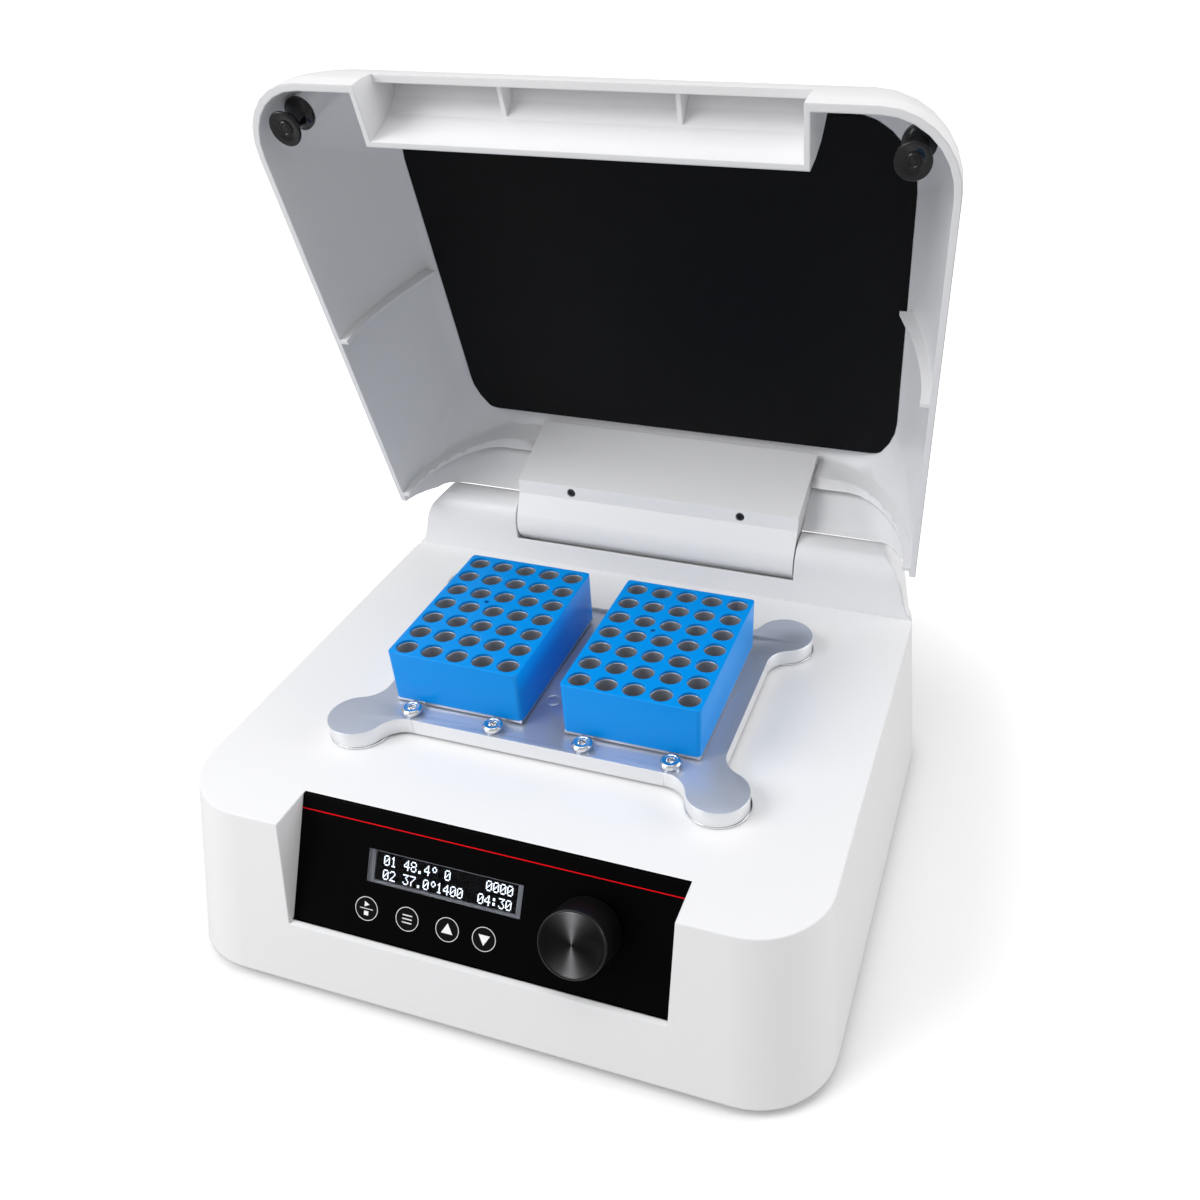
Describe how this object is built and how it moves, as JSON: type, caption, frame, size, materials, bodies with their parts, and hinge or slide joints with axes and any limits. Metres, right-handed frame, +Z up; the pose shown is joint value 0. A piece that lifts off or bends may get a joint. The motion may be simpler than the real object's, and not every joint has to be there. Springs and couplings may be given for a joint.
{
  "type": "thermal mixer",
  "caption": "Bench thermal mixer with a sloping control panel, an orbiting heated platform with two tube blocks, and a hinged domed lid, shown open.",
  "frame": {"origin": "on the bench under the centre of the platform", "axes": "+X to the user's right, -Y towards the user and the control panel, +Z up"},
  "size_m": [0.3466, 0.3424, 0.3729],
  "materials": {
    "housing_plastic": "satin moulded, pale grey",
    "lid_plastic": "satin moulded, pale grey",
    "cover_plastic": "satin moulded, off-white",
    "sheet_steel": "zinc plated sheet",
    "foot_rubber": "matt black",
    "steel_screws": "zinc plated",
    "panel_black": "smooth black",
    "display_glass": "dark tinted",
    "display_board": "soldered board",
    "circuit_board": "soldered board",
    "encoder_metal": "plain",
    "knob_black": "black anodised",
    "knob_metal": "spun, dark",
    "key_black": "smooth black",
    "supply_metal": "plain sheet",
    "inlet_plastic": "black moulding",
    "rocker_plastic": "black moulding",
    "pillar_metal": "turned",
    "post_aluminium": "turned",
    "motor_paint": "black",
    "shaft_steel": "ground",
    "weight_brass": "machined",
    "platform_aluminium": "clear anodised",
    "bush_bronze": "sintered",
    "heater_rubber": "silicone mat",
    "block_aluminium": "machined",
    "cover_blue": "satin blue",
    "polished_screws": "polished stainless",
    "clutch_steel": "dark",
    "lid_foam": "closed-cell sheet, matt black",
    "buffer_rubber": "black",
    "dark_screws": "plated"
  },
  "bodies": {
    "base": {"upper_housing": "housing_plastic", "base_plate": "sheet_steel", "feet": "foot_rubber", "base_screws": "steel_screws", "control_panel": "panel_black", "display_window": "display_glass", "display_module": "display_board", "key_board": "circuit_board", "encoder_body": "encoder_metal", "main_board": "circuit_board", "power_supply": "supply_metal", "mains_inlet": "inlet_plastic", "inlet_screws": "steel_screws", "power_switch": "inlet_plastic", "drive_deck": "sheet_steel", "deck_pillars": "pillar_metal", "deck_screws": "steel_screws", "idler_posts": "post_aluminium", "drive_motor": "motor_paint", "motor_screws": "steel_screws", "hinge_pin": "shaft_steel"},
    "lid": {"lid_shell": "lid_plastic", "lid_pad": "lid_foam", "lid_buffers": "buffer_rubber", "hinge_cover": "cover_plastic", "hinge_screws": "dark_screws", "hinge_clutches": "clutch_steel"},
    "crank": {"crankshaft": "shaft_steel", "counterweight": "weight_brass"},
    "platform": {"platform": "platform_aluminium", "platform_bushes": "bush_bronze", "heater_mats": "heater_rubber", "block_left": "block_aluminium", "block_right": "block_aluminium", "cover_left": "cover_blue", "cover_right": "cover_blue", "block_screws": "polished_screws"},
    "idler_fl": {"idler_front_left": "shaft_steel"},
    "idler_fr": {"idler_front_right": "shaft_steel"},
    "idler_rl": {"idler_rear_left": "shaft_steel"},
    "idler_rr": {"idler_rear_right": "shaft_steel"},
    "encoder_push": {"encoder_plunger": "encoder_metal"},
    "knob": {"knob": "knob_black", "knob_face": "knob_metal"},
    "key_1": {"key_1": "key_black"},
    "key_2": {"key_2": "key_black"},
    "key_up": {"key_up": "key_black"},
    "key_down": {"key_down": "key_black"},
    "rocker": {"switch_rocker": "rocker_plastic"}
  },
  "joints": [
    {"name": "lid_close", "type": "hinge", "parent": "base", "child": "lid", "pos_m": [0, 0.1302, 0.1215], "axis": [1, 0, 0], "range_deg": [0, 74]},
    {"name": "crank_turn", "type": "hinge", "parent": "base", "child": "crank", "pos_m": [0, 0.001, 0.08], "axis": [0, 0, 1], "continuous": true},
    {"name": "platform_orbit", "type": "hinge", "parent": "crank", "child": "platform", "pos_m": [0, 0, 0.1], "axis": [0, 0, 1], "continuous": true},
    {"name": "idler_fl_turn", "type": "hinge", "parent": "base", "child": "idler_fl", "pos_m": [-0.0962, -0.0655, 0.08], "axis": [0, 0, 1], "continuous": true},
    {"name": "idler_fr_turn", "type": "hinge", "parent": "base", "child": "idler_fr", "pos_m": [0.0962, -0.0655, 0.08], "axis": [0, 0, 1], "continuous": true},
    {"name": "idler_rl_turn", "type": "hinge", "parent": "base", "child": "idler_rl", "pos_m": [-0.0962, 0.0675, 0.08], "axis": [0, 0, 1], "continuous": true},
    {"name": "idler_rr_turn", "type": "hinge", "parent": "base", "child": "idler_rr", "pos_m": [0.0962, 0.0675, 0.08], "axis": [0, 0, 1], "continuous": true},
    {"name": "knob_push", "type": "slide", "parent": "base", "child": "encoder_push", "axis": [0, 0.8616, -0.5075], "range_m": [0, 0.001], "stiffness_N_per_m": 600},
    {"name": "knob_turn", "type": "hinge", "parent": "encoder_push", "child": "knob", "pos_m": [0.0549, -0.1334, 0.07], "axis": [0, -0.8616, 0.5075], "continuous": true},
    {"name": "key_1_press", "type": "slide", "parent": "base", "child": "key_1", "axis": [0, 0.8616, -0.5075], "range_m": [0, 0.0006], "stiffness_N_per_m": 300},
    {"name": "key_2_press", "type": "slide", "parent": "base", "child": "key_2", "axis": [0, 0.8616, -0.5075], "range_m": [0, 0.0006], "stiffness_N_per_m": 300},
    {"name": "key_up_press", "type": "slide", "parent": "base", "child": "key_up", "axis": [0, 0.8616, -0.5075], "range_m": [0, 0.0006], "stiffness_N_per_m": 300},
    {"name": "key_down_press", "type": "slide", "parent": "base", "child": "key_down", "axis": [0, 0.8616, -0.5075], "range_m": [0, 0.0006], "stiffness_N_per_m": 300},
    {"name": "rocker_tilt", "type": "hinge", "parent": "base", "child": "rocker", "pos_m": [-0.116, 0.1435, 0.04], "axis": [1, 0, 0], "range_deg": [0, 12]}
  ],
  "couplings": [
    {"joint": "platform_orbit", "follows": "crank_turn", "ratio": -1},
    {"joint": "idler_fl_turn", "follows": "crank_turn", "ratio": 1},
    {"joint": "idler_fr_turn", "follows": "crank_turn", "ratio": 1},
    {"joint": "idler_rl_turn", "follows": "crank_turn", "ratio": 1},
    {"joint": "idler_rr_turn", "follows": "crank_turn", "ratio": 1}
  ]
}
